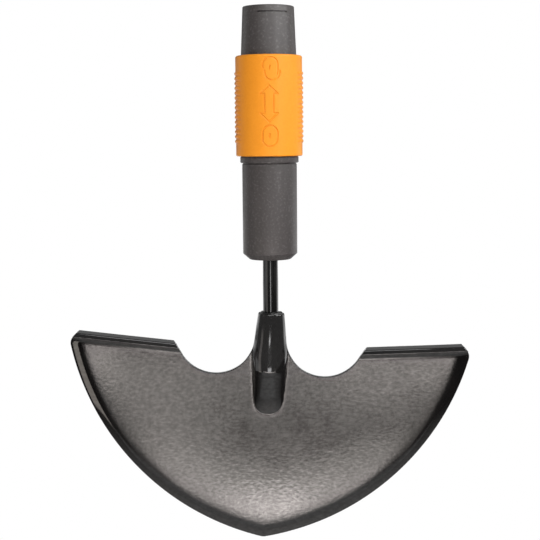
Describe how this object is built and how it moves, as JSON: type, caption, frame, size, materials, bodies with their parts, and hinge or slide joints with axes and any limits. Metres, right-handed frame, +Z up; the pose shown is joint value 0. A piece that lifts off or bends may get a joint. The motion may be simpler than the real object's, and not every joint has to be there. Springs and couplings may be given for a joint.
{
  "type": "half moon edger head",
  "caption": "Half moon lawn edger head: pressed steel blade with folded foot treads on a rod, with a plastic quick-fit handle socket and a sliding sprung lock collar.",
  "frame": {"origin": "on the handle socket's axis, where the straight bore starts below the lead-in", "axes": "+Z up the socket and out of its mouth, +X to the right seen from the front, the front of the blade faces -Y"},
  "size_m": [0.2248, 0.0368, 0.2987],
  "materials": {
    "blade_coat": "satin black powder coat with a fine orange-peel texture",
    "rod_coat": "glossy black enamel",
    "grey_plastic": "fine-grained dark grey moulding",
    "orange_plastic": "satin orange moulding",
    "plated_steel": "zinc plated",
    "bush_plastic": "natural acetal",
    "ball_steel": "polished bearing steel"
  },
  "bodies": {
    "head": {"blade": "blade_coat", "tang_rod": "rod_coat", "weld_beads": "blade_coat", "tang_housing": "grey_plastic", "lock_tube": "grey_plastic", "clamp_disc": "plated_steel", "tang_washer": "plated_steel", "tang_nut": "plated_steel", "spring_washer": "plated_steel", "collar_spring": "plated_steel"},
    "collar": {"lock_collar": "orange_plastic", "cam_ring": "plated_steel", "collar_bush": "bush_plastic"},
    "ball_1": {"lock_ball_1": "ball_steel"},
    "ball_2": {"lock_ball_2": "ball_steel"},
    "ball_3": {"lock_ball_3": "ball_steel"},
    "ball_4": {"lock_ball_4": "ball_steel"}
  },
  "joints": [
    {"name": "collar_slide", "type": "slide", "parent": "head", "child": "collar", "axis": [0, 0, 1], "range_m": [0, 0.01], "stiffness_N_per_m": 500, "springref_m": -0.016, "deforming": ["collar_spring"]},
    {"name": "ball_1_slide", "type": "slide", "parent": "head", "child": "ball_1", "axis": [1, 0, 0], "range_m": [0, 0.0012]},
    {"name": "ball_2_slide", "type": "slide", "parent": "head", "child": "ball_2", "axis": [0, 1, 0], "range_m": [0, 0.0012]},
    {"name": "ball_3_slide", "type": "slide", "parent": "head", "child": "ball_3", "axis": [-1, 0, 0], "range_m": [0, 0.0012]},
    {"name": "ball_4_slide", "type": "slide", "parent": "head", "child": "ball_4", "axis": [0, -1, 0], "range_m": [0, 0.0012]}
  ],
  "couplings": [
    {"joint": "ball_1_slide", "follows": "collar_slide", "ratio": 0.12},
    {"joint": "ball_2_slide", "follows": "collar_slide", "ratio": 0.12},
    {"joint": "ball_3_slide", "follows": "collar_slide", "ratio": 0.12},
    {"joint": "ball_4_slide", "follows": "collar_slide", "ratio": 0.12}
  ]
}
